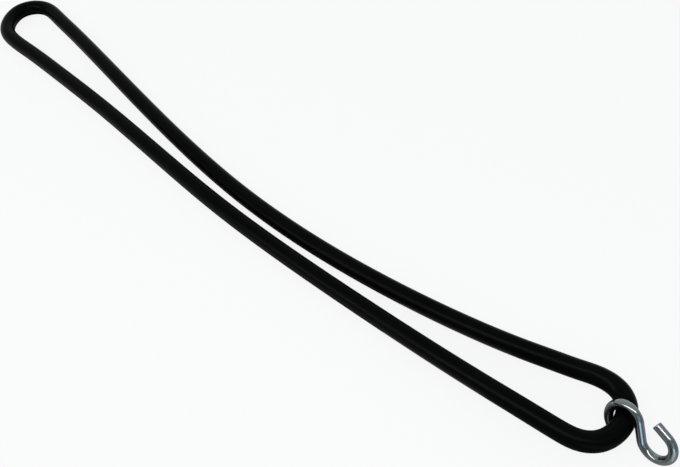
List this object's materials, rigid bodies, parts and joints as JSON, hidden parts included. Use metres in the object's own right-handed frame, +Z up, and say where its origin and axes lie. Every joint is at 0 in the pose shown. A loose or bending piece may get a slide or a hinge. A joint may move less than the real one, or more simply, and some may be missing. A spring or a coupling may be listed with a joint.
{
  "type": "rubber ring tie-down",
  "caption": "Endless ring of solid round rubber cord with a steel wire S-hook whose eye is bent round it, for strapping loads down.",
  "frame": {"origin": "on the surface that the ring lies on, under the middle of the whole object's box", "axes": "+X along the ring towards the hook, +Z up from the surface that it lies on"},
  "size_m": [0.3718, 0.0526, 0.0164],
  "materials": {
    "rubber": "smooth, satin black",
    "zinc_plate": "bright zinc plate with a bluish cast"
  },
  "bodies": {
    "far_end": {"ring_far_bend": "rubber", "ring_far_leg_back": "rubber", "ring_far_leg_front": "rubber"},
    "hook_end": {"ring_hook_bend": "rubber", "ring_hook_leg_back": "rubber", "ring_hook_leg_front": "rubber"},
    "hook": {"s_hook": "zinc_plate"}
  },
  "joints": [
    {"name": "stretch", "type": "slide", "parent": "far_end", "child": "hook_end", "axis": [1, 0, 0], "range_m": [0, 0.18], "stiffness_N_per_m": 750, "deforming": ["ring_far_leg_back", "ring_far_leg_front", "ring_hook_leg_back", "ring_hook_leg_front"]},
    {"name": "hook_swing", "type": "hinge", "parent": "hook_end", "child": "hook", "pos_m": [0.1679, -0.00585, 0.00716], "axis": [0.1249, -0.9922, 0], "continuous": true}
  ]
}
